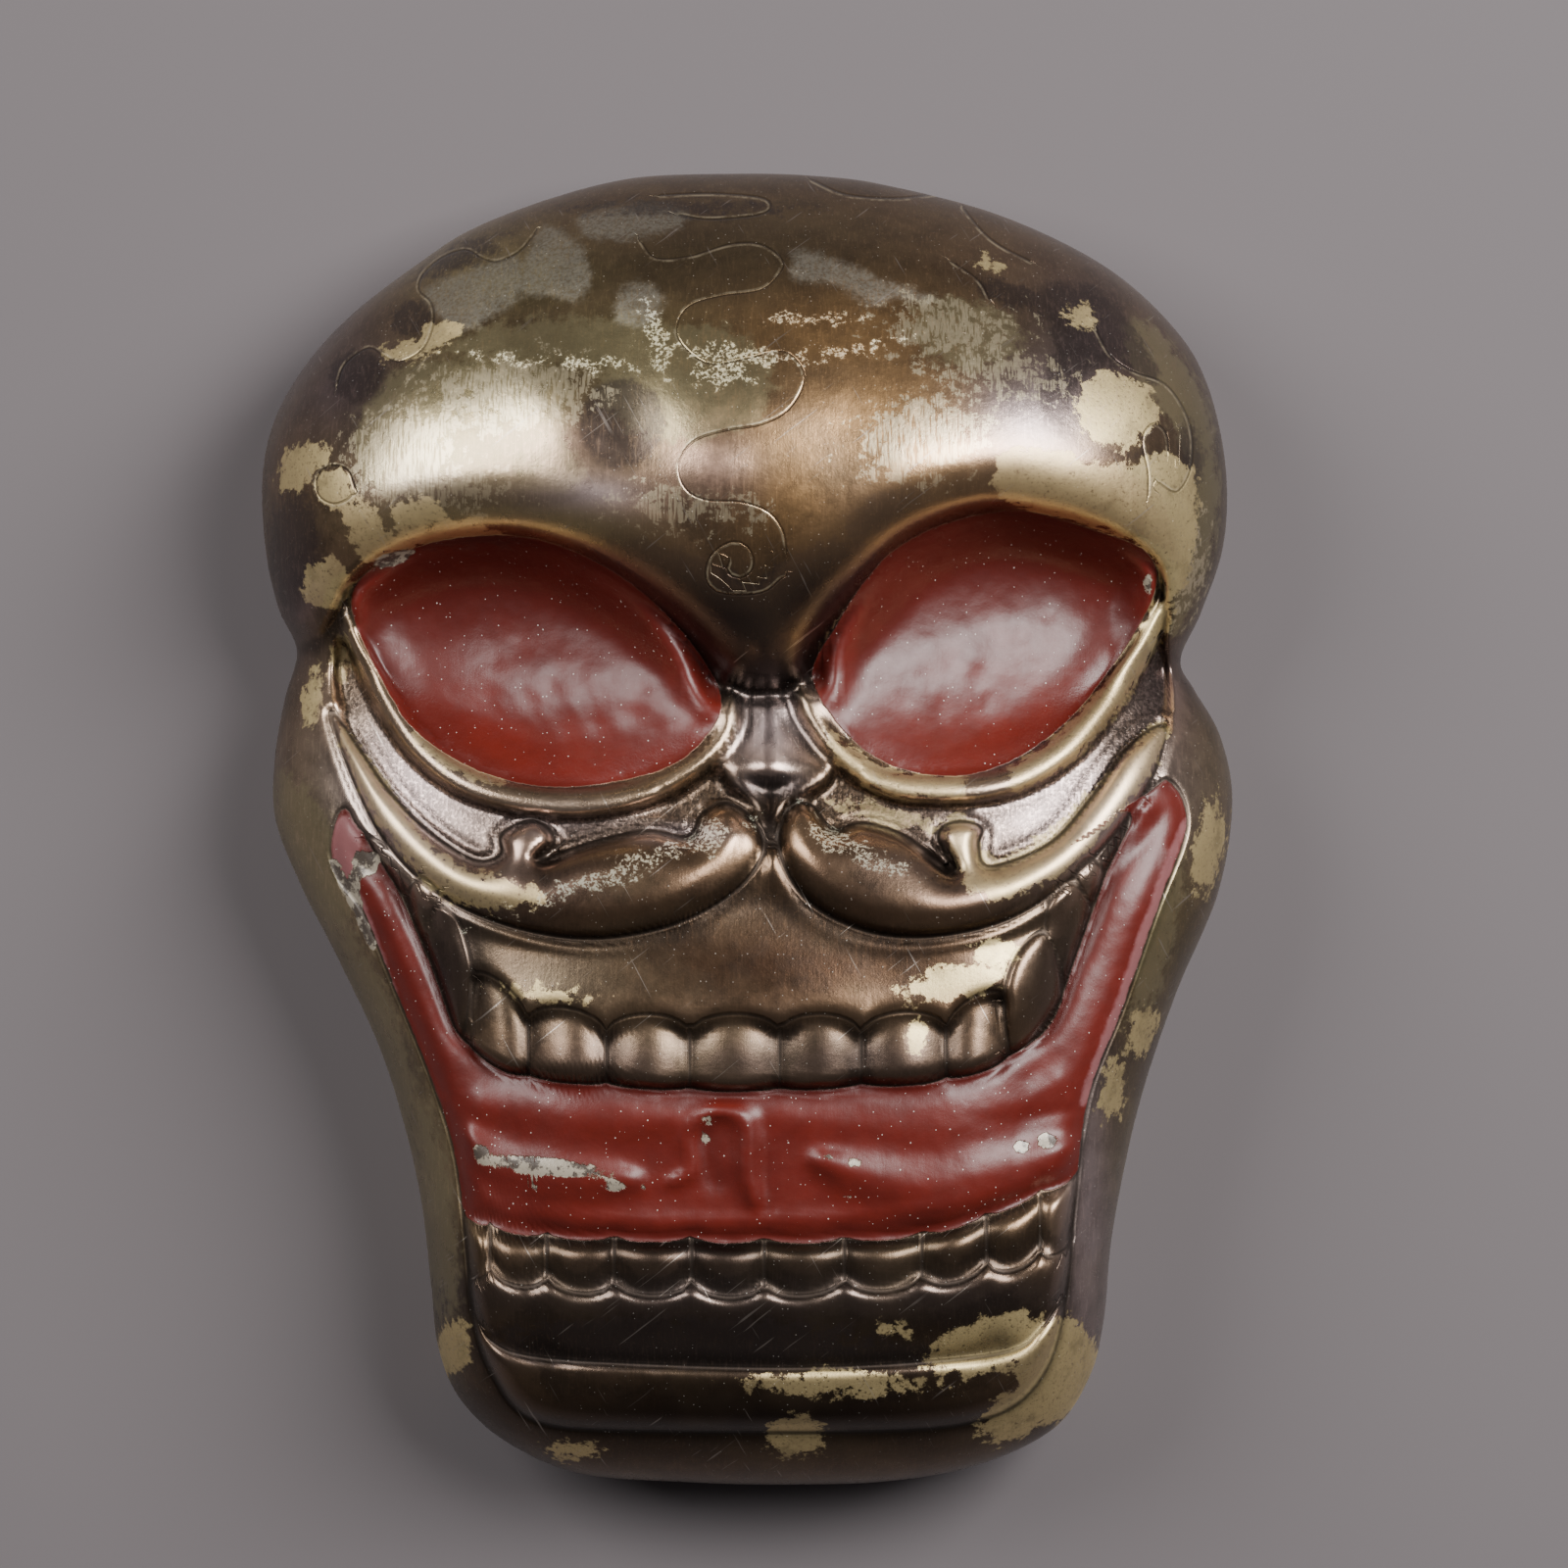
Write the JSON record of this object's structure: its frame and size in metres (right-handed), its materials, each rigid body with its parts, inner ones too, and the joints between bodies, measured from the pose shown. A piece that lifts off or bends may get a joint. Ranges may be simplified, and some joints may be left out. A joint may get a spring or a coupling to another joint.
{
  "type": "citipati mask",
  "caption": "Skull mask hammered from sheet brass, with sunken red eyes, scrolled cheeks, a wide red grin between tooth rows, and an open back.",
  "frame": {"origin": "the middle of the rim's plane, under the middle of the mask's box", "axes": "+X to the viewer's right, +Y to the crown, +Z out of the face; the mask lies face up on its rim"},
  "size_m": [0.2519, 0.3401, 0.0959],
  "materials": {
    "brass": "dark brown patina worn to bright brass, with red paint in the eye sockets and the mouth"
  },
  "bodies": {
    "root": {"mask": "brass"}
  },
  "joints": []
}
